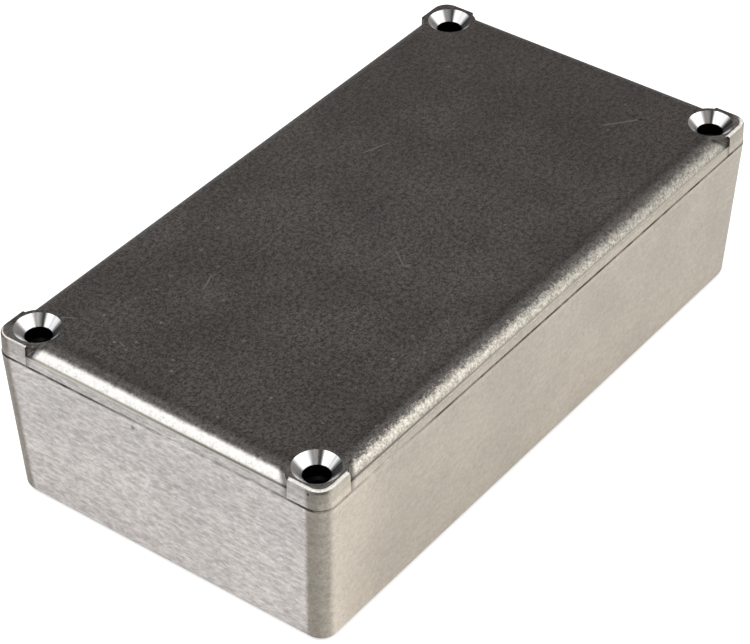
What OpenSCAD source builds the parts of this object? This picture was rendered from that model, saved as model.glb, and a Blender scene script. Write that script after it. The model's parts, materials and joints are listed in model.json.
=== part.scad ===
// Small die cast aluminium enclosure: a drafted box and the lid that screws down on it.
// The origin is at the centre of the underside. X runs along the long side and Z is up.

/* [Overall] */
// Length of the box at the joint between base and lid
length = 112; // [90:0.5:180]
// Width of the box at the joint between base and lid
width = 60.6; // [50:0.2:120]
// Height from the underside to the top of the lid
height = 30; // [24:0.2:34]
// Height of the lid above the joint
lid_height = 3.4; // [3.2:0.1:5]
// Radius of the upright corners
corner_r = 2.8; // [2.6:0.1:3.6]
// Draft angle of the outer walls of the base
base_draft = 2.7; // [1:0.1:3.5]
// Radius round the underside
foot_r = 1.6; // [0.5:0.1:2]

/* [Walls] */
// Thickness of the base walls at the joint
wall = 2.1; // [1.6:0.1:2.6]
// Thickness of the floor
floor_t = 2.2; // [1.8:0.1:4]
// Draft angle of the inner walls
inner_draft = 2.7; // [1:0.1:3]
// Radius between the floor and the inner walls
floor_r = 1; // [0.4:0.1:1.2]
// Thickness of the lid's plate
plate_t = 2.2; // [1.8:0.1:2.6]

/* [Screw corners] */
// Distance of each screw hole from the two outer faces beside it
screw_inset = 4.75; // [4.5:0.05:6]
// Radius of the round pad on the lid at each screw
pad_r = 4.5; // [4.2:0.05:4.7]
// How far the pad's square part runs past the screw along each side
pad_run = 1.6; // [0.5:0.1:2.5]
// Diameter of the clearance hole through the lid
clear_d = 4.1; // [3.4:0.05:4.4]
// Top diameter of the countersink
sink_d = 7.15; // [6.4:0.05:7.6]
// Radius of each screw post inside the base, at the joint
post_r = 4.2; // [3.8:0.1:4.6]
// Draft angle of the screw posts
post_draft = 1; // [0:0.5:2]
// Core diameter of the tapped hole in each post
core_d = 2.9; // [2.5:0.1:3.3]
// Depth of the tapped hole
core_depth = 16; // [8:0.5:18]

/* [Lid edges] */
// How far the rounded edges drop below the lid's flat top, between the pads
edge_drop = 1.7; // [0.8:0.1:1.8]
// Radius of those edges, which run into the flat top
edge_r = 2.3; // [1.9:0.1:4]
// Step in from the lid's side to the start of that radius
ledge = 0.38; // [0.3:0.02:0.6]
// Radius round the outer edge of that step
ledge_r = 0.2; // [0.1:0.05:0.25]
// Draft angle of the lid's side
lid_draft = 1.5; // [0:0.1:3]
// How far the lid stands back from the base at the joint
lid_setback = 0.08; // [0.02:0.02:0.16]
// Bevel along the lower edge of the lid and the upper edge of the base
joint_bevel = 0.16; // [0.06:0.02:0.3]
// Radius round the top edge of the pads
pad_edge_r = 0.4; // [0.2:0.05:0.5]
// Depth of the rib that locates the lid inside the base
rib_h = 1.4; // [0.8:0.1:3]
// Thickness of that rib
rib_t = 1.4; // [1:0.1:2]
// Gap between the rib and the base
rib_gap = 0.25; // [0.15:0.05:0.4]

/* [Hidden] */
$fn = 64;

// Overlap that keeps a cut clear of the face it starts from
eps = 0.05;
joint_z = height - lid_height;
screw_x = length / 2 - screw_inset;
screw_y = width / 2 - screw_inset;

// Slight angle at which a rounding crosses the drafted side that it runs into
crease = 3;
// The same angle where the rounding of the foot meets the walls
foot_crease = 10;
// Horizontal distance from a drafted wall to the leaning axis of its upright corner
corner_step = centre_in(corner_r, base_draft, crease);
// Lean of that axis, which lies in the corner's diagonal
corner_lean = atan(sqrt(2) * tan(base_draft));
// Angle at that axis between the diagonal and the line where the rounding meets a wall
corner_half = acos(cos(base_draft) * cos(corner_lean) * cos(45) + sin(base_draft) * sin(corner_lean));
// How far the shapes that trim the castings stand clear of them
clear = 3;

// Radius of the cavity's upright corners at the joint
cavity_corner_r = 2.4;
// Distances of the rib and of the hollow inside it from the outer faces
rib_inset = wall + rib_gap;
hollow_inset = rib_inset + rib_t;
// Radius of the hollow's upright corners, and the draft angle of its sides and of the rib
hollow_corner_r = 1.2;
hollow_draft = 3;
// Gap between the rib and the screw posts
post_gap = 0.4;
lid_corner_r = corner_r - lid_setback;
ledge_z = height - edge_drop;
// Depth of a countersink at right angles
sink_depth = (sink_d - clear_d) / 2;
// Half the point angle of a twist drill
drill_half_angle = 59;
// Bevel round the mouth of the tapped hole
core_mouth = 0.4;

// How far a wall drafted by the angle has moved in at the given height below the joint
function lean_in(draft, depth) = depth * tan(draft);

// Horizontal distance from a drafted side to the centre of a rounding that crosses it at the angle
function centre_in(round_r, draft, angle) = round_r * cos(angle) / cos(draft);

// Repeats a shape drawn for the +X +Y corner at all four corners
module at_corners(cx, cy) {
    for (flip_x = [0, 1], flip_y = [0, 1])
        mirror([flip_x, 0, 0])
            mirror([0, flip_y, 0])
                translate([cx, cy, 0]) children();
}

// A box with the same side profile all the way round, and upright corner axes at +-cx, +-cy.
// The child is that profile, drawn outwards from the axis between the heights z0 and z1.
module swept_box(cx, cy, z0, z1) {
    rotate([90, 0, 90])
        linear_extrude(2 * cx, center = true)
            whole_section(cy, z0, z1) children();
    rotate([90, 0, 0])
        linear_extrude(2 * cy, center = true)
            whole_section(cx, z0, z1) children();
    at_corners(cx, cy)
        rotate_extrude() children();
}

// The profiles of two opposite sides, joined across the middle
module whole_section(half, z0, z1) {
    for (side = [0, 1])
        mirror([side, 0])
            translate([half, 0]) children();
    translate([-half, z0]) square([2 * half, z1 - z0]);
}

// Profile with a straight side from radius r0 at z0 to radius r1 at z1, and a rounded foot
module footed_profile(r0, r1, z0, z1, round_r) {
    draft = atan((r1 - r0) / (z1 - z0));
    reach = 2 * round_r * cos(draft);
    difference() {
        polygon([[0, z0], [r0, z0], [r1, z1], [0, z1]]);
        translate([r0 + round_r * tan(draft) - centre_in(round_r, draft, crease), z0 + round_r])
            difference() {
                polygon([[0, 0], [0, -2 * round_r], [reach, -2 * round_r], [reach, -reach * tan(draft)]]);
                circle(round_r);
            }
    }
}

// Four drafted walls, with upright corners of one radius
module base_walls() {
    difference() {
        intersection() {
            rotate([90, 0, 90])
                linear_extrude(length + 2 * clear, center = true)
                    wall_section(width / 2);
            rotate([90, 0, 0])
                linear_extrude(width + 2 * clear, center = true)
                    wall_section(length / 2);
        }
        at_corners(length / 2 - corner_step, width / 2 - corner_step)
            translate([0, 0, joint_z])
                rotate([0, corner_lean, 45])
                    linear_extrude(4 * height, center = true)
                        corner_waste();
    }
}

// Section across two opposite walls, longer at both ends than the base is high
module wall_section(half) {
    top_half = half + lean_in(base_draft, clear);
    foot_half = half - lean_in(base_draft, joint_z + clear);
    polygon([
        [-foot_half, -clear], [foot_half, -clear],
        [top_half, joint_z + clear], [-top_half, joint_z + clear],
    ]);
}

// What the rounding of an upright corner takes away, seen along the corner's axis
module corner_waste() {
    reach = 3 * corner_r;
    difference() {
        polygon([
            [0, 0], [reach * cos(corner_half), -reach * sin(corner_half)],
            [2 * reach, 0], [reach * cos(corner_half), reach * sin(corner_half)],
        ]);
        circle(corner_r);
    }
}

// Trims the walls to a rounded foot on the ground
module foot_trim() {
    wall_in = lean_in(base_draft, joint_z - foot_r);
    top = joint_z + 2 * clear;
    swept_box(length / 2 - wall_in - corner_r, width / 2 - wall_in - corner_r, 0, top)
        difference() {
            square([corner_r + clear, top]);
            translate([corner_r - centre_in(foot_r, base_draft, foot_crease), foot_r])
                difference() {
                    translate([0, -2 * foot_r]) square([3 * clear, 2 * foot_r]);
                    circle(foot_r);
                }
        }
}

// Trims the walls to a rim at the joint, with a fine bevel round its outer edge
module rim_trim() {
    low = -2 * clear;
    swept_box(length / 2 - corner_r, width / 2 - corner_r, low, joint_z)
        polygon([
            [0, low], [corner_r + clear, low], [corner_r + clear, joint_z - clear - joint_bevel],
            [corner_r - joint_bevel, joint_z], [0, joint_z],
        ]);
}

// The space inside the base, without the screw posts
module base_cavity() {
    depth = joint_z - floor_t;
    floor_corner_r = cavity_corner_r - lean_in(inner_draft, depth);
    top_r = cavity_corner_r + lean_in(inner_draft, eps);
    cx = length / 2 - wall - cavity_corner_r;
    cy = width / 2 - wall - cavity_corner_r;
    swept_box(cx, cy, floor_t, joint_z + eps)
        footed_profile(floor_corner_r, top_r, floor_t, joint_z + eps, floor_r);
}

module screw_post() {
    cylinder(h = joint_z, r1 = post_r + lean_in(post_draft, joint_z), r2 = post_r);
}

// Blind hole with a drill point, core size for the thread, and a bevelled mouth
module tapped_hole() {
    core_r = core_d / 2;
    core_z = joint_z - core_depth;
    rotate_extrude()
        polygon([
            [0, core_z - core_r / tan(drill_half_angle)], [core_r, core_z],
            [core_r, joint_z - core_mouth], [core_r + core_mouth + eps, joint_z + eps],
            [0, joint_z + eps],
        ]);
}

module base() {
    color([0.72, 0.71, 0.68])
        difference() {
            intersection() {
                base_walls();
                foot_trim();
                rim_trim();
            }
            difference() {
                base_cavity();
                at_corners(screw_x, screw_y) screw_post();
            }
            at_corners(screw_x, screw_y) tapped_hole();
        }
}

// Radius of the lid's side at a height, seen from the axis of the corner
function lid_side_r(z) = lid_corner_r - lean_in(lid_draft, z - joint_z);

// What a rounding takes off the corner between a level top and a side that leans in by the angle.
// It is drawn from the centre of the rounding.
module round_waste(round_r, lean) {
    reach = 3 * round_r;
    difference() {
        polygon([[0, 0], [reach * cos(lean), reach * sin(lean)], [reach, reach], [0, reach]]);
        circle(round_r);
    }
}

// Side of the lid at its full height, bevelled below and rounded at the top
module lid_profile() {
    round_z = height - pad_edge_r;
    difference() {
        polygon([
            [0, joint_z], [lid_corner_r - joint_bevel, joint_z],
            [lid_side_r(joint_z + joint_bevel), joint_z + joint_bevel],
            [lid_side_r(height), height], [0, height],
        ]);
        translate([lid_side_r(round_z) - centre_in(pad_edge_r, lid_draft, crease), round_z])
            round_waste(pad_edge_r, lid_draft);
    }
}

// What is taken off along two opposite top edges: a ledge, and a round that runs into the flat top
module edge_waste(half, run) {
    axis = half - corner_r;
    round_z = ledge_z - ledge_r;
    arc_end = axis + lid_side_r(ledge_z) - ledge;
    arc_centre = arc_end - sqrt(edge_r * edge_r - (edge_r - edge_drop) * (edge_r - edge_drop));
    linear_extrude(run, center = true)
        for (side = [0, 1])
            mirror([side, 0]) {
                difference() {
                    translate([arc_centre, ledge_z]) square([half - arc_centre, edge_drop + eps]);
                    translate([arc_centre, height - edge_r]) circle(edge_r);
                }
                translate([axis + lid_side_r(round_z) - centre_in(ledge_r, lid_draft, crease), round_z])
                    round_waste(ledge_r, lid_draft);
            }
}

// The screw corners that stay at full height: round, and square towards the two outer faces
module screw_pads() {
    round_x = pad_r - centre_in(pad_edge_r, 0, crease);
    block = pad_run + screw_inset + clear;
    at_corners(screw_x, screw_y) {
        rotate_extrude() {
            square([round_x, height + clear]);
            difference() {
                square([pad_r, height]);
                translate([round_x, height - pad_edge_r]) round_waste(pad_edge_r, 0);
            }
        }
        translate([-pad_run, -pad_run, 0])
            cube([block, block, height + clear]);
    }
}

// The rib that hangs into the base, cut away round the screw posts
module locating_rib() {
    rib_r = hollow_corner_r + rib_t;
    cx = length / 2 - rib_inset - rib_r;
    cy = width / 2 - rib_inset - rib_r;
    difference() {
        swept_box(cx, cy, joint_z - rib_h, joint_z + eps)
            polygon([
                [0, joint_z - rib_h], [rib_r - lean_in(hollow_draft, rib_h), joint_z - rib_h],
                [rib_r, joint_z], [rib_r, joint_z + eps], [0, joint_z + eps],
            ]);
        at_corners(screw_x, screw_y)
            translate([0, 0, joint_z - rib_h - eps]) cylinder(h = rib_h + eps, r = post_r + post_gap);
    }
}

// The hollow on the underside of the lid, inside the rib
module lid_hollow() {
    z0 = joint_z - rib_h - eps;
    z1 = height - plate_t;
    cx = length / 2 - hollow_inset - hollow_corner_r;
    cy = width / 2 - hollow_inset - hollow_corner_r;
    difference() {
        swept_box(cx, cy, z0, z1)
            polygon([
                [0, z0], [hollow_corner_r + lean_in(hollow_draft, joint_z - z0), z0],
                [hollow_corner_r - lean_in(hollow_draft, z1 - joint_z), z1], [0, z1],
            ]);
        at_corners(screw_x, screw_y)
            translate([0, 0, joint_z]) cylinder(h = lid_height, r = pad_r);
    }
}

// Clearance hole with a countersink at right angles for a flat screw head
module lid_hole() {
    clear_r = clear_d / 2;
    rotate_extrude()
        polygon([
            [0, joint_z - eps], [clear_r, joint_z - eps], [clear_r, height - sink_depth],
            [sink_d / 2 + eps, height + eps], [0, height + eps],
        ]);
}

module lid() {
    color([0.3, 0.28, 0.27])
        difference() {
            union() {
                swept_box(length / 2 - corner_r, width / 2 - corner_r, joint_z, height)
                    lid_profile();
                locating_rib();
            }
            difference() {
                union() {
                    rotate([90, 0, 90]) edge_waste(width / 2, length + 2 * clear);
                    rotate([90, 0, 0]) edge_waste(length / 2, width + 2 * clear);
                }
                screw_pads();
            }
            lid_hollow();
            at_corners(screw_x, screw_y) lid_hole();
        }
}

base();
lid();
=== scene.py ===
"""Looks of a small die cast aluminium enclosure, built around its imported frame."""

import json
import math

import bpy
import numpy as np
from mathutils import Matrix, Vector


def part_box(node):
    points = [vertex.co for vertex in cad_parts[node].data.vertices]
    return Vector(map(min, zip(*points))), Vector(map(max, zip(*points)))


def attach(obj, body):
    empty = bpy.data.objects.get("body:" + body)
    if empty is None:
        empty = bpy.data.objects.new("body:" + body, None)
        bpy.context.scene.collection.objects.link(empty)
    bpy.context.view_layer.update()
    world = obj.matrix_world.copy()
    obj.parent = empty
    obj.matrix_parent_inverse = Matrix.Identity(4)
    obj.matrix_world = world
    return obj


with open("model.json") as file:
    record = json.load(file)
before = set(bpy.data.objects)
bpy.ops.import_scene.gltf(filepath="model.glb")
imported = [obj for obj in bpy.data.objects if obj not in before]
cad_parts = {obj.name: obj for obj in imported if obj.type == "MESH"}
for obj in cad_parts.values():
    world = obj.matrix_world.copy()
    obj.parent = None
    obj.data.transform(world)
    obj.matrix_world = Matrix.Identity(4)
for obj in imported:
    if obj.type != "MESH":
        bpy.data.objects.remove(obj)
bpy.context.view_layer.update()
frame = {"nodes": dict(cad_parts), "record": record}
NODES = frame["nodes"]
MM = 0.001


def top_corner(node):
    """Highest corner of a CAD node's box, in millimetres."""
    return Vector(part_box(node)[1]) / MM


def mount_sizes(name):
    """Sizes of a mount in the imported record, in millimetres."""
    return next(m for m in frame["record"]["mounts"] if m["name"] == name)["dims"]


# Main sizes in millimetres. The box is centred on the origin in X and Y and stands on Z = 0.
HALF_X, HALF_Y, JOINT_Z = top_corner("base")
TOP_Z = top_corner("lid").z
HOLES = mount_sizes("lid_holes")
SCREW_X = HOLES["spacing_x_mm"] / 2
SCREW_Y = HOLES["spacing_y_mm"] / 2
BORE_R = HOLES["hole_r_mm"]
CORE_R = mount_sizes("post_holes")["hole_r_mm"]
# Edge of the countersinks, a hair outside the solid's own
SINK_R = 3.58
# As in the solids: radius of the upright corners, radius of the pads, how far a pad's square part runs
# inwards from its hole, depth of the rounded edge, and draft of the base's walls
CORNER_R = 2.8
PAD_R = 4.5
PAD_RUN = 1.6
EDGE_DROP = 1.7
DRAFT = math.tan(math.radians(2.7))
# Threads in the screw posts: they start below the joint, and the ridge stands in from the core hole
THREAD_START = 1.0
THREAD_DEPTH = 14.0
THREAD_PITCH = 0.6
THREAD_RIDGE = 0.16
# Dark line in the joint, painted shadow with patchy dirt: its height, and how far to either side it reaches
# and stays dark
SEAM_Z = JOINT_Z - 0.04
SEAM_REACH = 0.23
SEAM_CORE = 0.07
# Plan angle, in degrees, of the line across each countersink where the painted reflection of the turning
# marks is dark
TURNED_ANGLE = 36.9
# Grains to a millimetre in each surface
WALL_GRAIN = 2.6
BASE_GRAIN = 2.0
LID_GRAIN = 3.1
THREAD_GRAIN = 3.0
# How metallic the castings and threads are, outside the bores, which are painted black as shade
METALLIC = 0.85

# Darkest and lightest colour of each finish
END_WALL = ((0.405, 0.38, 0.365, 1), (0.735, 0.70, 0.68, 1))
SIDE_WALL = ((0.42, 0.378, 0.32, 1), (0.55, 0.502, 0.435, 1))
# Upright corners: painted shade
CORNER_SHADE = ((0.26, 0.235, 0.195, 1), (0.40, 0.37, 0.325, 1))
INSIDE = ((0.26, 0.25, 0.235, 1), (0.38, 0.365, 0.345, 1))
# Dark top of the lid: a painted dark reflection, with grain in it
DARK_TOP_REFLECTION = ((0.021, 0.017, 0.015, 1), (0.108, 0.096, 0.088, 1))
# Rounded edges of the top: painted highlight, bright and dull
EDGE_HIGHLIGHT = ((0.60, 0.57, 0.51, 1), (0.97, 0.95, 0.92, 1))
DULL_EDGE_HIGHLIGHT = ((0.36, 0.335, 0.275, 1), (0.78, 0.74, 0.66, 1))
LEDGE = ((0.24, 0.22, 0.195, 1), (0.46, 0.43, 0.375, 1))
# Lips of the screw pads: painted highlight
LIP_HIGHLIGHT = ((0.60, 0.57, 0.52, 1), (0.88, 0.86, 0.81, 1))
# Countersink cones: painted dark and light reflections of the turning
CONE_DARK_REFLECTION = ((0.01, 0.01, 0.01, 1), (0.2, 0.19, 0.185, 1))
# Threads: near black as painted shade down in the screw holes
THREAD_SHADE = ((0.01, 0.01, 0.01, 1), (0.03, 0.03, 0.03, 1))
# Tint of the top at its middle and at its +X end
DARK_TOP_TINT = ((1, 1, 1, 1), (0.82, 0.775, 0.755, 1))
# Single colours
RIM = (0.104, 0.094, 0.087, 1)
# Bright sectors of the countersinks: painted highlight
CONE_HIGHLIGHT = (0.93, 0.93, 0.94, 1)
PAD_WALL = (0.10, 0.09, 0.08, 1)
SCRATCHED = (0.19, 0.175, 0.16, 1)
# Dark marks beside a screw pad
DARK_MARK_COLOUR = (0.03, 0.027, 0.024, 1)
# Bores and hole mouths: black as painted shade
SHADE_BLACK = (0.004, 0.004, 0.004, 1)

# Small pit in the -X end wall, just below the joint
END_PIT = (-55.9, 3.8, 25.15)
# Scratches on the lid's top: start and end in plan, and width
SCRATCHES = (
    ((40.6, -12.1), (45.0, -15.6), 0.22),
    ((-47.4, 24.4), (-46.5, 22.9), 0.2),
    ((-46.7, 13.8), (-47.1, 12.6), 0.2),
    ((-30.0, 12.0), (-26.8, 13.1), 0.18),
    ((-8.0, -8.5), (-5.6, -5.2), 0.16),
    ((12.0, 14.0), (16.5, 12.4), 0.16),
)
# Dark marks beside the screw pad at the back of the -X end: start and end in plan, and width
DARK_MARKS = (
    ((-55.1, 24.2), (-55.0, 23.6), 0.3),
    ((-55.9, 23.4), (-55.3, 23.2), 0.3),
    ((-55.2, 23.0), (-54.1, 22.6), 0.28),
)
# Blow holes in the lid's top, in plan, and their radius
BLOW_HOLES = ((45.4, -16.1), (-29.2, -9.5))
BLOW_HOLE_R = 0.42


# ---------------------------------------------------------------- shader helpers


FLOAT, VECTOR, COLOUR = "NodeSocketFloat", "NodeSocketVector", "NodeSocketColor"
POSITION = ("Position", VECTOR, None)


class Graph:
    """Short calls for adding and linking nodes in one node tree."""

    def __init__(self, tree):
        self.tree = tree
        self.count = 0

    def add(self, kind, inputs=None, **settings):
        """New node with its settings and inputs, laid out in rows of twelve."""
        node = self.tree.nodes.new(kind)
        node.location = (self.count % 12 * 190, -(self.count // 12) * 260)
        self.count += 1
        for key, value in settings.items():
            setattr(node, key, value)
        for key, value in (inputs or {}).items():
            self.put(node.inputs[key], value)
        return node

    def put(self, socket, value):
        """Links a socket to another one, or gives it a constant."""
        if isinstance(value, bpy.types.NodeSocket):
            self.tree.links.new(value, socket)
        else:
            socket.default_value = value

    def math(self, operation, *values, clamp=False):
        node = self.add("ShaderNodeMath", operation=operation, use_clamp=clamp)
        for socket, value in zip(node.inputs, values):
            self.put(socket, value)
        return node.outputs[0]

    def plus(self, a, b):
        return self.math("ADD", a, b)

    def minus(self, a, b):
        return self.math("SUBTRACT", a, b)

    def times(self, a, b):
        return self.math("MULTIPLY", a, b)

    def times_plus(self, a, b, c):
        """a times b, plus c."""
        return self.math("MULTIPLY_ADD", a, b, c)

    def least(self, a, b):
        return self.math("MINIMUM", a, b)

    def most(self, a, b):
        return self.math("MAXIMUM", a, b)

    def unsigned(self, a):
        return self.math("ABSOLUTE", a)

    def sign(self, a):
        return self.math("SIGN", a)

    def vector(self, operation, *values):
        node = self.add("ShaderNodeVectorMath", operation=operation)
        for socket, value in zip(node.inputs, values):
            self.put(socket, value)
        return node.outputs["Value" if operation in ("LENGTH", "DOT_PRODUCT") else 0]

    def scale(self, vector, factor):
        """Vector or colour times a number."""
        node = self.add("ShaderNodeVectorMath", operation="SCALE")
        self.put(node.inputs[0], vector if isinstance(vector, bpy.types.NodeSocket) else vector[:3])
        self.put(node.inputs["Scale"], factor)
        return node.outputs[0]

    def ramp(self, value, start, end, low=0.0, high=1.0):
        """Smooth step from low, where the value is start, to high, where it is end."""
        inputs = {"Value": value, "From Min": start, "From Max": end, "To Min": low, "To Max": high}
        return self.add("ShaderNodeMapRange", inputs, interpolation_type="SMOOTHSTEP").outputs[0]

    def mix(self, factor, a, b):
        """Blend of two colours."""
        node = self.add("ShaderNodeMix", data_type="RGBA", clamp_factor=True)
        for index, value in ((0, factor), (6, a), (7, b)):
            self.put(node.inputs[index], value)
        return node.outputs[2]

    def noise(self, place, scale, detail=2.0, rough=0.5):
        inputs = {"Vector": place, "Scale": scale, "Detail": detail, "Roughness": rough}
        return self.add("ShaderNodeTexNoise", inputs).outputs["Fac"]

    def split(self, vector):
        return self.add("ShaderNodeSeparateXYZ", {0: vector}).outputs

    def join(self, x, y, z):
        return self.add("ShaderNodeCombineXYZ", {0: x, 1: y, 2: z}).outputs[0]

    def group(self, name, **inputs):
        """Outputs of a shared effect, whose inputs are given in small letters."""
        node = self.add("ShaderNodeGroup", node_tree=bpy.data.node_groups[name])
        for key, value in inputs.items():
            self.put(node.inputs[key.capitalize()], value)
        return node.outputs


def new_group(name, inputs, outputs, output_kind=FLOAT):
    """Starts a node group and gives its graph, its input sockets and a call that sets its outputs."""
    tree = bpy.data.node_groups.new(name, "ShaderNodeTree")
    for label, kind, default in inputs:
        socket = tree.interface.new_socket(label, in_out="INPUT", socket_type=kind)
        if default is not None:
            socket.default_value = default
    for label in outputs:
        tree.interface.new_socket(label, in_out="OUTPUT", socket_type=output_kind)
    graph = Graph(tree)
    start = graph.add("NodeGroupInput")
    end = graph.add("NodeGroupOutput")

    def give(**values):
        for key, value in values.items():
            graph.put(end.inputs[key.replace("_", " ")], value)

    return graph, start.outputs, give


# ---------------------------------------------------------------- shared effects


def make_cast_grain():
    """Grain of a die cast skin.

    Broad is a slow noise. Mottle is a middle and a fine noise in nearly equal parts, and averages 0.5.
    """
    g, inp, give = new_group("cast grain", [POSITION, ("Grain", FLOAT, 2.0)], ["Broad", "Mottle"])
    place = inp["Position"]
    broad = g.noise(place, 0.07, 2.0)
    middle = g.noise(place, g.times(inp["Grain"], 0.45), 3.0, 0.65)
    fine = g.noise(place, inp["Grain"], 2.0, 0.7)
    give(Broad=broad, Mottle=g.times_plus(middle, 0.45, g.times(fine, 0.55)))


def make_linished():
    """Short straight streaks of a linishing belt: noise drawn out along the walls."""
    inputs = [POSITION, ("Along", FLOAT, 0.55), ("Across", FLOAT, 2.4)]
    g, inp, give = new_group("linished", inputs, ["Streaks"])
    x, y, z = g.split(inp["Position"])
    level = g.times(g.plus(x, y), inp["Along"])
    crossing = g.times(g.minus(x, y), inp["Along"])
    place = g.join(level, crossing, g.times(z, inp["Across"]))
    coarse = g.noise(place, 0.6, 2.0, 0.6)
    fine = g.noise(place, 1.5, 3.0, 0.7)
    give(Streaks=g.times_plus(coarse, 0.45, g.times(fine, 0.55)))


def make_pits():
    """Small round spots: a dot in the middle of a share of the cells of a cell pattern."""
    inputs = [POSITION, ("Spacing", FLOAT, 4.0), ("Radius", FLOAT, 0.2), ("Share", FLOAT, 0.15)]
    g, inp, give = new_group("pits", inputs, ["Mask"])
    spread = g.math("DIVIDE", 1.0, inp["Spacing"])
    cells = g.add("ShaderNodeTexVoronoi", {"Vector": inp["Position"], "Scale": spread, "Randomness": 1.0})
    reach = g.times(inp["Radius"], spread)
    dot = g.ramp(cells.outputs["Distance"], g.times(reach, 0.5), reach, 1.0, 0.0)
    chance = g.split(cells.outputs["Color"])[0]
    give(Mask=g.times(dot, g.math("LESS_THAN", chance, inp["Share"])))


def make_scratch():
    """Straight scratch in plan: one close to the line between two points, and nought past the width."""
    inputs = [POSITION, ("Start", VECTOR, None), ("End", VECTOR, None), ("Width", FLOAT, 0.15)]
    g, inp, give = new_group("scratch", inputs, ["Mask"])
    flat = g.vector("MULTIPLY", inp["Position"], (1.0, 1.0, 0.0))
    line = g.vector("SUBTRACT", inp["End"], inp["Start"])
    gone = g.vector("SUBTRACT", flat, inp["Start"])
    along = g.vector("DOT_PRODUCT", gone, line)
    share = g.math("DIVIDE", along, g.vector("DOT_PRODUCT", line, line), clamp=True)
    away = g.vector("LENGTH", g.vector("SUBTRACT", gone, g.scale(line, share)))
    give(Mask=g.ramp(away, inp["Width"], g.times(inp["Width"], 0.3)))


def make_screw_corner():
    """Plan of the nearest screw hole.

    Radius is the distance from its axis, and Pad is one on the screw pad. Turned is the signed sine of the
    angle from the line along which the countersink's painted reflection is dark, and Marks is a noise that
    changes round the axis.
    """
    g, inp, give = new_group("screw corner", [POSITION], ["Radius", "Pad", "Turned", "Marks"])
    soft = 0.03
    x, y, _ = g.split(inp["Position"])
    out_x = g.minus(g.unsigned(x), SCREW_X)
    out_y = g.minus(g.unsigned(y), SCREW_Y)
    radius = g.vector("LENGTH", g.join(out_x, out_y, 0.0))
    past_x = g.ramp(out_x, -PAD_RUN - soft, -PAD_RUN)
    past_y = g.ramp(out_y, -PAD_RUN - soft, -PAD_RUN)
    pad = g.most(g.ramp(radius, PAD_R + soft, PAD_R), g.least(past_x, past_y))
    side_x = g.sign(x)
    side_y = g.sign(y)
    plan_x = g.times(out_x, side_x)
    plan_y = g.times(out_y, side_y)
    angle = math.radians(TURNED_ANGLE)
    across = g.minus(g.times(plan_y, math.cos(angle)), g.times(plan_x, math.sin(angle)))
    turned = g.math("DIVIDE", across, g.most(radius, 0.1))
    heading = g.vector("NORMALIZE", g.join(plan_x, plan_y, 0.0))
    marks = g.noise(g.vector("ADD", heading, g.join(side_x, side_y, 0.0)), 6.0, 2.0, 0.6)
    give(Radius=radius, Pad=pad, Turned=turned, Marks=marks)


def make_outline():
    """Distances in from the outer faces, which lean in below the joint.

    In X and In Y are measured to the two pairs of flat faces, and Edge to the outline with its round corners.
    """
    g, inp, give = new_group("outline", [POSITION], ["In X", "In Y", "Edge"])
    x, y, z = g.split(inp["Position"])
    lean = g.times(g.most(g.minus(JOINT_Z, z), 0.0), DRAFT)
    in_x = g.minus(HALF_X, g.plus(g.unsigned(x), lean))
    in_y = g.minus(HALF_Y, g.plus(g.unsigned(y), lean))
    short_x = g.most(g.minus(CORNER_R, in_x), 0.0)
    short_y = g.most(g.minus(CORNER_R, in_y), 0.0)
    edge = g.minus(CORNER_R, g.vector("LENGTH", g.join(short_x, short_y, 0.0)))
    give(In_X=in_x, In_Y=in_y, Edge=edge)


def make_wall_finish_with_painted_light_and_shade():
    """Colour of the outer walls: streaked on the ends, mottled on the sides, with painted shade round the
    corners and painted light on the long sides towards the -X end.
    """
    g, inp, give = new_group("wall finish", [POSITION], ["Colour"], COLOUR)
    place = inp["Position"]
    x = g.split(place)[0]
    outline = g.group("outline", position=place)
    grain = g.group("cast grain", position=place, grain=WALL_GRAIN)
    streaks = g.group("linished", position=place)["Streaks"]
    mottle = g.times_plus(streaks, 0.35, g.times(grain["Mottle"], 0.65))
    end = g.mix(g.ramp(streaks, 0.32, 0.68), *END_WALL)
    side = g.mix(g.ramp(mottle, 0.34, 0.66), *SIDE_WALL)
    # painted light: the long sides are lighter towards the -X end
    side = g.scale(side, g.ramp(x, -HALF_X + 1.0, -HALF_X + 18.0, 1.36, 1.03))
    # painted shade round the upright corners, varying across the round
    corner = g.mix(g.ramp(mottle, 0.35, 0.65), *CORNER_SHADE)
    corner = g.scale(corner, g.ramp(outline["In Y"], 1.6, 0.4, 0.85, 1.1))
    ragged = g.times(g.minus(grain["Mottle"], 0.5), 0.8)
    colour = g.mix(g.ramp(g.plus(outline["In Y"], ragged), 2.6, 3.5), corner, end)
    colour = g.mix(g.ramp(g.plus(outline["In X"], ragged), 1.2, 2.6), colour, side)
    give(Colour=g.scale(colour, g.ramp(grain["Broad"], 0.3, 0.7, 0.95, 1.05)))


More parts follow.
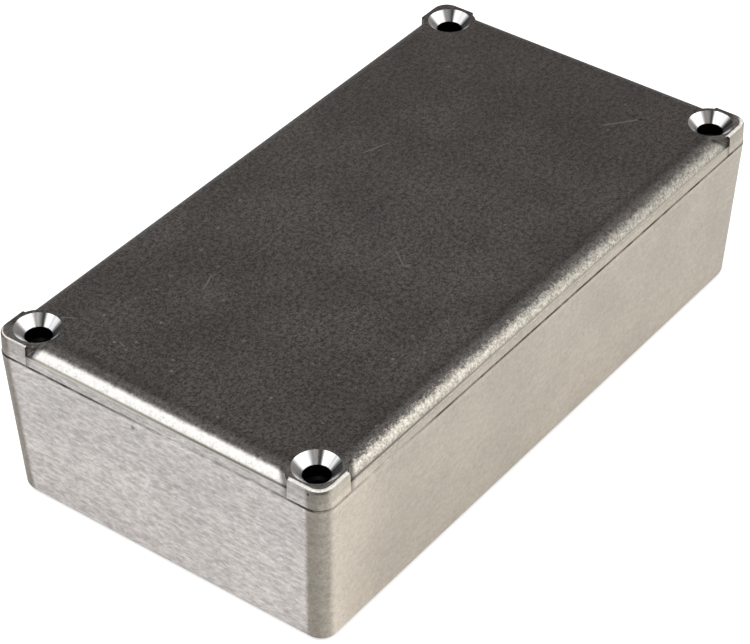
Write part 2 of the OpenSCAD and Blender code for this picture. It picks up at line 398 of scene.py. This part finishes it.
def make_joint_painted_light_and_dirt():
    """Painted shadow in the joint with patchy dirt in it, above a painted highlight band. Shade is a factor
    on the metal's colour.

    The dark line is thin on both sides of the -X -Y corner, and dark in the corners and along the rest.
    """
    g, inp, give = new_group("joint dirt", [POSITION], ["Shade"])
    place = inp["Position"]
    x, y, z = g.split(place)
    along = g.most(g.ramp(x, -HALF_X + 12.0, -HALF_X + 30.0), g.ramp(y, -6.0, 12.0))
    corner_sum = HALF_X + HALF_Y
    at_corner = g.ramp(g.plus(g.unsigned(x), g.unsigned(y)), corner_sum - 11.0, corner_sum - 4.0)
    on_side = g.ramp(y, -HALF_Y + 2.0, -HALF_Y + 0.5)
    past_corner = g.times(on_side, g.ramp(x, -HALF_X + 6.0, -HALF_X + 3.0))
    patchy = g.noise(g.vector("MULTIPLY", place, (1.0, 1.0, 0.0)), 0.35, 3.0)
    patchy = g.ramp(patchy, 0.35, 0.65, 0.1, 0.35)
    strength = g.times(g.most(along, at_corner), g.times_plus(past_corner, -0.5, 1.0))
    strength = g.math("MULTIPLY_ADD", strength, 0.55, patchy, clamp=True)
    line = g.ramp(g.unsigned(g.minus(z, SEAM_Z)), SEAM_REACH, SEAM_CORE)
    below_line = g.ramp(z, JOINT_Z - 0.3, JOINT_Z - 0.45)
    # painted highlight on a band below the joint
    painted_highlight_band = g.times(g.ramp(z, JOINT_Z - 1.3, JOINT_Z - 0.6), below_line)
    give(Shade=g.times_plus(painted_highlight_band, 0.1, g.minus(1.0, g.times(line, strength))))


make_cast_grain()
make_linished()
make_outline()
make_pits()
make_scratch()
make_screw_corner()
make_wall_finish_with_painted_light_and_shade()
make_joint_painted_light_and_dirt()


# ---------------------------------------------------------------- base


def new_material(name):
    """Empty material with a Principled shader, the position in millimetres and the surface's normal."""
    material = bpy.data.materials.new(name)
    material.use_nodes = True
    material.node_tree.nodes.clear()
    g = Graph(material.node_tree)
    shader = g.add("ShaderNodeBsdfPrincipled")
    out = g.add("ShaderNodeOutputMaterial")
    g.put(out.inputs["Surface"], shader.outputs[0])
    coords = g.add("ShaderNodeTexCoord").outputs
    place = g.vector("MULTIPLY", coords["Object"], (1 / MM, 1 / MM, 1 / MM))
    return material, g, shader, place, coords["Normal"]


def finish_casting(g, shader, colour, roughness, bore):
    """Links a casting's colour and roughness to the shader, and makes it wholly metallic in its bores."""
    g.put(shader.inputs["Base Color"], colour)
    g.put(shader.inputs["Roughness"], roughness)
    g.put(shader.inputs["Metallic"], g.times_plus(bore, 1.0 - METALLIC, METALLIC))


def roughen(g, shader, height, strength, rise):
    """Bumps a casting's surface. A height of one stands for rise, in millimetres."""
    bump = g.add("ShaderNodeBump", {"Height": height, "Strength": strength, "Distance": rise * MM})
    g.put(shader.inputs["Normal"], bump.outputs[0])


def base_material():
    """Linished walls, with the cast skin left under the foot and inside."""
    material, g, shader, place, normal = new_material("linished casting")
    z = g.split(place)[2]
    nz = g.split(normal)[2]
    outside = g.ramp(g.group("outline", position=place)["Edge"], 1.3, 1.1)
    mottle = g.group("cast grain", position=place, grain=BASE_GRAIN)["Mottle"]
    screw = g.group("screw corner", position=place)
    pits = g.group("pits", position=place, spacing=5.0, radius=0.22, share=0.2)["Mask"]
    end_pit = g.vector("LENGTH", g.vector("SUBTRACT", place, END_PIT))
    pits = g.most(pits, g.ramp(end_pit, 0.4, 0.2))
    cast = g.mix(g.ramp(mottle, 0.35, 0.65), *INSIDE)
    underneath = g.ramp(nz, -0.25, -0.75)
    wall = g.group("wall finish", position=place)["Colour"]
    colour = g.mix(outside, cast, g.mix(underneath, wall, cast))
    # painted shadow and dirt in the joint, over a painted highlight band
    colour = g.scale(colour, g.group("joint dirt", position=place)["Shade"])
    foot_shade = g.ramp(z, 0.05, 0.45, 0.45, 1.0)
    colour = g.scale(colour, foot_shade)
    # painted shade: the mouths of the screw holes are black
    above_floor = g.ramp(z, 3.5, 4.0)
    shaded_mouth = g.times(g.ramp(screw["Radius"], BORE_R + 0.25, BORE_R + 0.1), above_floor)
    colour = g.mix(shaded_mouth, colour, SHADE_BLACK)
    colour = g.scale(colour, g.times_plus(pits, -0.5, 1.0))
    roughness = g.ramp(mottle, 0.3, 0.7, 0.42, 0.6)
    finish_casting(g, shader, colour, roughness, shaded_mouth)
    roughen(g, shader, g.minus(mottle, pits), strength=0.25, rise=0.15)
    return material


# ---------------------------------------------------------------- lid


class LidPoint:
    """What the lid's colours are worked out from, at one point of its surface.

    drop is the depth below the top, and on_top is one on the flat top. edge is the distance in from the
    outline, depth from the nearest flat face, and from_near from the -X or -Y face, whichever is nearer.
    on_side is one where the surface turns to -Y. ragged is a noise about nought, and ragged_edge the same
    with a finer speckle on that side. broad, mottle and screw are as their node groups give them.
    """

    def __init__(self, g, place, normal):
        self.place = place
        self.x, self.y, self.z = g.split(place)
        self.nx, self.ny, self.nz = g.split(normal)
        self.drop = g.minus(TOP_Z, self.z)
        outline = g.group("outline", position=place)
        self.edge = outline["Edge"]
        self.depth = g.least(outline["In X"], outline["In Y"])
        self.from_near = g.least(g.plus(self.x, HALF_X), g.plus(self.y, HALF_Y))
        grain = g.group("cast grain", position=place, grain=LID_GRAIN)
        self.broad = grain["Broad"]
        self.mottle = grain["Mottle"]
        self.screw = g.group("screw corner", position=place)
        self.on_side = g.ramp(self.ny, -0.1, -0.3)
        self.ragged = g.minus(g.noise(place, 1.3, 4.0, 0.75), 0.5)
        speckle = g.minus(g.noise(place, 3.2, 2.0, 0.6), 0.5)
        self.ragged_edge = g.times_plus(g.times(speckle, self.on_side), 0.8, self.ragged)
        self.on_top = g.ramp(self.drop, 0.1, 0.05)


def painted_dark_top(g, at):
    """Dark top: its dark colour is a painted dark reflection, with mottle, light flecks and dark dots of
    grain. It is paler along the -X and -Y edges, and darker in a band a little further in.
    """
    skin = g.mix(g.ramp(at.mottle, 0.37, 0.65), *DARK_TOP_REFLECTION)
    skin = g.scale(skin, g.ramp(at.broad, 0.3, 0.7, 0.86, 1.14))
    skin = g.vector("MULTIPLY", skin, g.mix(g.ramp(at.x, 0.0, HALF_X), *DARK_TOP_TINT))
    flecks = g.group("pits", position=at.place, spacing=1.9, radius=0.38, share=0.2)["Mask"]
    flecks = g.times(flecks, g.ramp(at.x, -45.0, 0.0, 1.1, 0.5))
    aside = g.vector("ADD", at.place, (5.0, 3.0, 0.0))
    dots = g.group("pits", position=aside, spacing=2.3, radius=0.4, share=0.3)["Mask"]
    skin = g.scale(skin, g.times_plus(dots, -0.38, g.plus(flecks, 1.0)))
    rim = g.ramp(g.times_plus(at.ragged, 1.6, at.from_near), 3.3, 2.4)
    skin = g.mix(rim, skin, g.scale(RIM, g.ramp(at.mottle, 0.34, 0.66, 0.45, 1.55)))
    dark_band = g.times(g.ramp(at.from_near, 3.2, 3.7), g.ramp(at.from_near, 5.0, 4.2))
    return g.scale(skin, g.times_plus(dark_band, -0.2, 1.0))


def painted_edge_highlight(g, at, skin):
    """Painted highlight down the rounded edge of the top, over the dark top, with a ragged border.

    The steeper the surface, the more is highlighted. The -X end has an even, bright painted highlight, the -Y
    side a ragged, duller one that is less towards +X, and the edges that turn to +X and +Y keep more of the
    dark top.
    """
    turned_away = g.ramp(g.most(at.nx, at.ny), 0.05, 0.25)
    steep = g.times_plus(turned_away, 0.26, at.nz)
    swung = g.times_plus(at.ragged_edge, g.times_plus(at.on_side, 0.45, 0.17), steep)
    end_highlight = g.ramp(swung, 0.95, 0.7)
    unhighlighted = 0.96
    fully_highlighted = g.ramp(at.x, -42.0, 30.0, 0.68, 0.24)
    side_highlight = g.math("DIVIDE", g.minus(unhighlighted, swung), g.minus(unhighlighted, fully_highlighted), clamp=True)
    highlight_share = g.plus(g.times(side_highlight, at.on_side), g.times(end_highlight, g.minus(1.0, at.on_side)))
    bright = g.mix(g.ramp(at.mottle, 0.2, 0.6), *EDGE_HIGHLIGHT)
    dull = g.mix(g.ramp(at.mottle, 0.36, 0.62), *DULL_EDGE_HIGHLIGHT)
    # painted shade on the highlight towards the ledge, at the foot of the rounded edge
    foot_shade = g.times_plus(at.on_side, 0.25, 0.65)
    foot_end = g.times_plus(at.on_side, -0.4, EDGE_DROP - 0.3)
    foot = g.ramp(at.drop, EDGE_DROP - 0.05, foot_end, foot_shade, 1.0)
    return g.mix(highlight_share, skin, g.scale(g.mix(at.on_side, bright, dull), foot))


def lid_sides(g, at, colour):
    """Upright faces in the walls' finish, and the narrow ledge above them, dark with cast skin and painted
    shade in its crease, paler towards +Y and +X.
    """
    side = g.group("wall finish", position=at.place)["Colour"]
    side = g.scale(side, g.ramp(at.z, TOP_Z - EDGE_DROP, JOINT_Z + 1.0, 0.9, 1.06))
    side = g.scale(side, g.ramp(g.unsigned(at.nx), 0.8, 0.95, 1.0, 0.88))
    upright = g.most(g.ramp(at.nz, 0.35, 0.15), g.times(at.screw["Pad"], g.ramp(at.nz, 0.85, 0.7)))
    colour = g.mix(upright, colour, side)
    # dark line on the ledge: cast skin and painted shade in its crease
    ledge = g.times(g.ramp(at.drop, EDGE_DROP - 0.06, EDGE_DROP - 0.02), g.ramp(at.nz, 0.5, 0.9))
    paler_ledge = g.most(g.ramp(at.y, -10.0, 12.0), g.ramp(at.x, -48.0, 0.0))
    return g.mix(ledge, colour, g.mix(paler_ledge, *LEDGE))


def screw_pads(g, at, colour):
    """Painted shade in the notches beside the pads, darker inner walls, a painted shadow under their lips,
    and a painted highlight along their lips.
    """
    pad = at.screw["Pad"]
    beside = g.times(g.ramp(at.screw["Radius"], PAD_R + 0.9, PAD_R + 0.2), g.minus(1.0, pad))
    # painted shade in the notches beside the pads
    notch_shade = g.times(beside, g.ramp(at.drop, 0.0, 0.25, 0.12, 1.0))
    colour = g.scale(colour, g.times_plus(notch_shade, -0.75, 1.0))
    outward = g.least(g.times(at.nx, g.sign(at.x)), g.times(at.ny, g.sign(at.y)))
    inner_wall = g.times(g.ramp(outward, -0.02, -0.06), g.ramp(at.nz, 0.97, 0.85))
    colour = g.mix(inner_wall, colour, PAD_WALL)
    on_corner = g.times(g.ramp(at.depth, 0.2, 0.5), g.ramp(at.edge, 1.0, 0.6))
    # painted shadow under the pads' lips
    under_lip = g.times(g.ramp(at.drop, 0.6, 0.35), g.ramp(at.drop, 0.02, 0.08))
    under_lip = g.times(g.times(pad, under_lip), g.times_plus(on_corner, 0.45, 0.15))
    colour = g.scale(colour, g.minus(1.0, under_lip))
    lip_edge = g.plus(g.times_plus(at.ragged_edge, 0.2, at.edge), g.ramp(at.y, 0.0, 20.0, 0.0, 0.3))
    # painted highlight along the pads' lips
    lip_highlight = g.times(g.ramp(at.nz, 0.75, 0.9), g.ramp(lip_edge, 0.92, 0.76))
    lip_highlight = g.times(lip_highlight, g.times(pad, g.ramp(at.from_near, 2.4, 1.0)))
    return g.mix(lip_highlight, colour, g.mix(g.ramp(at.mottle, 0.35, 0.6), *LIP_HIGHLIGHT))


def lid_underside(g, at, colour):
    """Plain cast skin on the rib and under the lid."""
    inside = g.times(g.ramp(at.drop, 1.0, 1.3), g.ramp(at.depth, 1.0, 1.2))
    return g.mix(inside, colour, g.mix(g.ramp(at.mottle, 0.35, 0.65), *INSIDE))


def countersink_masks(g, at):
    """One on the cone of a countersink, and one in its bore."""
    past_cone = 1.6
    cone = g.times(g.ramp(at.screw["Radius"], SINK_R + 0.02, SINK_R - 0.02), g.ramp(at.nz, 0.9, 0.8))
    cone = g.times(cone, g.ramp(at.drop, past_cone + 0.15, past_cone))
    return cone, g.ramp(at.screw["Radius"], BORE_R + 0.06, BORE_R + 0.02)


def cone_colour(g, at):
    """Turned metal of a countersink: painted reflections, bright sectors between dark ones, broken up by the
    turning marks.
    """
    turned = at.screw["Turned"]
    off_line = g.unsigned(turned)
    bright = g.times(g.ramp(off_line, 0.2, 0.42), g.ramp(off_line, 0.98, 0.80))
    bright = g.times(bright, g.ramp(at.screw["Marks"], 0.3, 0.55, 0.7, 1.0))
    shade = g.times_plus(at.screw["Marks"], 0.5, g.ramp(turned, -0.22, 0.2, 0.0, 0.6))
    return g.mix(bright, g.mix(g.ramp(shade, 0.15, 0.9), *CONE_DARK_REFLECTION), CONE_HIGHLIGHT)


def scratch_mask(g, at, start, end, width):
    """Mask of one scratch between two points in plan."""
    ends = {"start": (*start, 0.0), "end": (*end, 0.0)}
    return g.group("scratch", position=at.place, width=width, **ends)["Mask"]


def scratched(g, at, colour):
    """Pale scratches in the top, and dark marks down its rounded edge."""
    for start, end, width in SCRATCHES:
        scratch = g.times(scratch_mask(g, at, start, end, width), at.on_top)
        colour = g.mix(g.times(scratch, 0.5), colour, SCRATCHED)
    above_ledge = g.ramp(at.drop, EDGE_DROP, EDGE_DROP - 0.2, 0.0, 0.75)
    for start, end, width in DARK_MARKS:
        mark = g.times(scratch_mask(g, at, start, end, width), above_ledge)
        colour = g.mix(mark, colour, DARK_MARK_COLOUR)
    return colour


def lid_pits(g, at):
    """Small pits strewn over the lid, and the larger blow holes in its top."""
    pits = g.group("pits", position=at.place, spacing=7.0, radius=0.3, share=0.1)["Mask"]
    for x, y in BLOW_HOLES:
        hole = scratch_mask(g, at, (x, y), (x + 0.05, y), BLOW_HOLE_R)
        pits = g.most(pits, g.times(hole, at.on_top))
    return pits


def lid_material():
    """Dark top as a painted dark reflection, painted highlights down the rounded edges, and turned
    countersinks with painted reflections.
    """
    material, g, shader, place, normal = new_material("dark cast skin")
    at = LidPoint(g, place, normal)
    cone, bore = countersink_masks(g, at)
    pits = lid_pits(g, at)
    colour = painted_edge_highlight(g, at, painted_dark_top(g, at))
    colour = lid_sides(g, at, colour)
    colour = screw_pads(g, at, colour)
    colour = lid_underside(g, at, colour)
    colour = g.mix(cone, colour, cone_colour(g, at))
    # painted shade: the bores are black
    colour = g.mix(bore, colour, SHADE_BLACK)
    colour = scratched(g, at, colour)
    colour = g.scale(colour, g.times_plus(pits, -0.8, 1.0))
    # painted shadow and dirt in the joint, over a painted highlight band
    colour = g.scale(colour, g.group("joint dirt", position=place)["Shade"])
    roughness = g.minus(g.ramp(at.mottle, 0.3, 0.7, 0.45, 0.62), g.times(cone, 0.12))
    finish_casting(g, shader, colour, roughness, bore)
    roughen(g, shader, g.minus(at.mottle, pits), strength=0.35, rise=0.2)
    return material


def thread_material():
    """Near black grey of a thread down in its hole, painted shade of the deep hole."""
    material, g, shader, place, _ = new_material("tapped thread")
    mottle = g.group("cast grain", position=place, grain=THREAD_GRAIN)["Mottle"]
    g.put(shader.inputs["Base Color"], g.mix(mottle, *THREAD_SHADE))
    shader.inputs["Metallic"].default_value = METALLIC
    shader.inputs["Roughness"].default_value = 0.5
    return material


def dress(node, material):
    """Gives one material to every slot of a CAD node."""
    for slot in NODES[node].material_slots:
        slot.material = material


dress("base", base_material())
dress("lid", lid_material())


# ---------------------------------------------------------------- threads


def helix_ridge(name, centre, top_z, bottom_z, wall_r, ridge, pitch):
    """Thread ridge in a bore: a triangle carried down a helix, with its ends faded into the wall.

    At turn t the axis angle is 2 pi t and the height is top_z - pitch t. The triangle's foot stands in the
    wall, a third of the pitch above and below the helix, and its tip reaches in from the wall by ridge.
    Over the first and the last turn the tip comes out of the foot and sinks back to it.
    """
    per_turn = 24
    sunk = 0.05
    turns = (top_z - bottom_z) / pitch
    t = np.linspace(0.0, turns, int(turns * per_turn) + 1)
    fade = np.clip(np.minimum(t, turns - t), 0.0, 1.0)
    foot = np.full_like(t, wall_r + sunk)
    tip = wall_r + sunk * (1 - fade) - ridge * fade
    radius = np.stack([foot, tip, foot], axis=1)
    angle = 2 * np.pi * t[:, None]
    rise = np.array([pitch / 3, 0.0, -pitch / 3])[None, :]
    height = top_z - pitch * t[:, None] + rise
    x = centre[0] + radius * np.cos(angle)
    y = centre[1] + radius * np.sin(angle)
    points = np.stack([x, y, height], axis=2).reshape(-1, 3) * MM
    rows = np.arange(len(t) - 1)[:, None] * 3
    side = np.arange(3)[None, :]
    following = (side + 1) % 3
    corners = [rows + side, rows + 3 + side, rows + 3 + following, rows + following]
    quads = np.stack(corners, axis=2).reshape(-1, 4)
    last = 3 * (len(t) - 1)
    ends = [[0, 1, 2], [last + 2, last + 1, last]]
    mesh = bpy.data.meshes.new(name)
    mesh.from_pydata(points.tolist(), [], quads.tolist() + ends)
    mesh.update()
    piece = bpy.data.objects.new(name, mesh)
    bpy.context.scene.collection.objects.link(piece)
    return piece


thread_metal = thread_material()
thread_top = JOINT_Z - THREAD_START
thread_bottom = thread_top - THREAD_DEPTH
POSTS = (("left_front", -1, -1), ("right_front", 1, -1), ("right_back", 1, 1), ("left_back", -1, 1))
for post, side_x, side_y in POSTS:
    axis = (side_x * SCREW_X, side_y * SCREW_Y)
    sizes = (thread_top, thread_bottom, CORE_R, THREAD_RIDGE, THREAD_PITCH)
    thread = helix_ridge(f"thread_{post}", axis, *sizes)
    thread.data.materials.append(thread_metal)
    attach(thread, "root")


# ---------------------------------------------------------------- stage, lights and camera


def make_floor():
    """Plain pale floor that keeps the object's shadow.

    It is clear from below, and to rays that start close to it, so that the underside can be seen.
    """
    reach = 1.5
    level = -0.02 * MM
    clear_within = 0.4 * MM
    corners = [(-reach, -reach, level), (reach, -reach, level), (reach, reach, level), (-reach, reach, level)]
    mesh = bpy.data.meshes.new("floor")
    mesh.from_pydata(corners, [], [(0, 1, 2, 3)])
    floor = bpy.data.objects.new("floor", mesh)
    bpy.context.scene.collection.objects.link(floor)
    material = bpy.data.materials.new("pale floor")
    material.use_nodes = True
    shader = material.node_tree.nodes["Principled BSDF"]
    shader.inputs["Base Color"].default_value = (0.95, 0.95, 0.95, 1)
    shader.inputs["Roughness"].default_value = 0.9
    shader.inputs["Specular IOR Level"].default_value = 0.0
    shader.inputs["Emission Color"].default_value = (1.0, 1.0, 1.0, 1)
    g = Graph(material.node_tree)
    rays = g.add("ShaderNodeLightPath").outputs
    glow = g.times_plus(rays["Is Glossy Ray"], 0.1, g.times(rays["Is Camera Ray"], 0.42))
    g.put(shader.inputs["Emission Strength"], glow)
    back = g.add("ShaderNodeNewGeometry").outputs["Backfacing"]
    far = g.math("GREATER_THAN", rays["Ray Length"], clear_within)
    g.put(shader.inputs["Alpha"], g.times(g.minus(1.0, back), far))
    mesh.materials.append(material)


def make_world():
    """Even pale surroundings; what the camera and mirror-like faces see is white."""
    world = bpy.data.worlds.new("studio")
    bpy.context.scene.world = world
    world.use_nodes = True
    world.node_tree.nodes.clear()
    g = Graph(world.node_tree)
    rays = g.add("ShaderNodeLightPath").outputs
    seen = g.most(rays["Is Camera Ray"], rays["Is Transmission Ray"])
    seen = g.most(seen, rays["Is Glossy Ray"])
    strength = g.times_plus(seen, 0.35, 0.65)
    back = g.add("ShaderNodeBackground", {"Color": (1.0, 1.0, 1.0, 1), "Strength": strength})
    out = g.add("ShaderNodeOutputWorld")
    g.put(out.inputs["Surface"], back.outputs[0])


def area_light(name, place, size, power):
    """Soft square lamp aimed at the origin. Its place and size are in metres."""
    lamp = bpy.data.lights.new(name, "AREA")
    lamp.shape = "SQUARE"
    lamp.size = size
    lamp.energy = power
    holder = bpy.data.objects.new(name, lamp)
    bpy.context.scene.collection.objects.link(holder)
    holder.location = place
    holder.rotation_euler = (-Vector(place)).to_track_quat("-Z", "Y").to_euler()


def make_camera():
    """Long lens above the corner where the -X end meets the -Y side, in degrees and millimetres."""
    azimuth, elevation, roll = (math.radians(a) for a in (-52.978, 38.527, -0.367))
    distance = 434.945
    shift_right = -2.372
    shift_up = -3.689
    middle = Vector((0.0, 0.0, 15.0))
    level = math.cos(elevation)
    back = Vector((math.sin(azimuth) * level, -math.cos(azimuth) * level, math.sin(elevation)))
    right = Vector((math.cos(azimuth), math.sin(azimuth), 0.0))
    up = back.cross(right)
    aim = middle + shift_right * right + shift_up * up
    across = math.cos(roll) * right + math.sin(roll) * up
    upward = math.cos(roll) * up - math.sin(roll) * right
    data = bpy.data.cameras.new("camera")
    data.lens = 134.34
    data.sensor_width = 36.0
    camera = bpy.data.objects.new("camera", data)
    bpy.context.scene.collection.objects.link(camera)
    turn = Matrix((across, upward, back)).transposed().to_4x4()
    camera.matrix_world = Matrix.Translation((aim + distance * back) * MM) @ turn
    bpy.context.scene.camera = camera


make_floor()
make_world()
area_light("key", place=(-0.5, -0.15, 0.7), size=0.5, power=2.6)
area_light("fill", place=(0.5, -0.6, 0.5), size=0.6, power=1.7)
make_camera()
bpy.context.scene.view_settings.view_transform = "Standard"
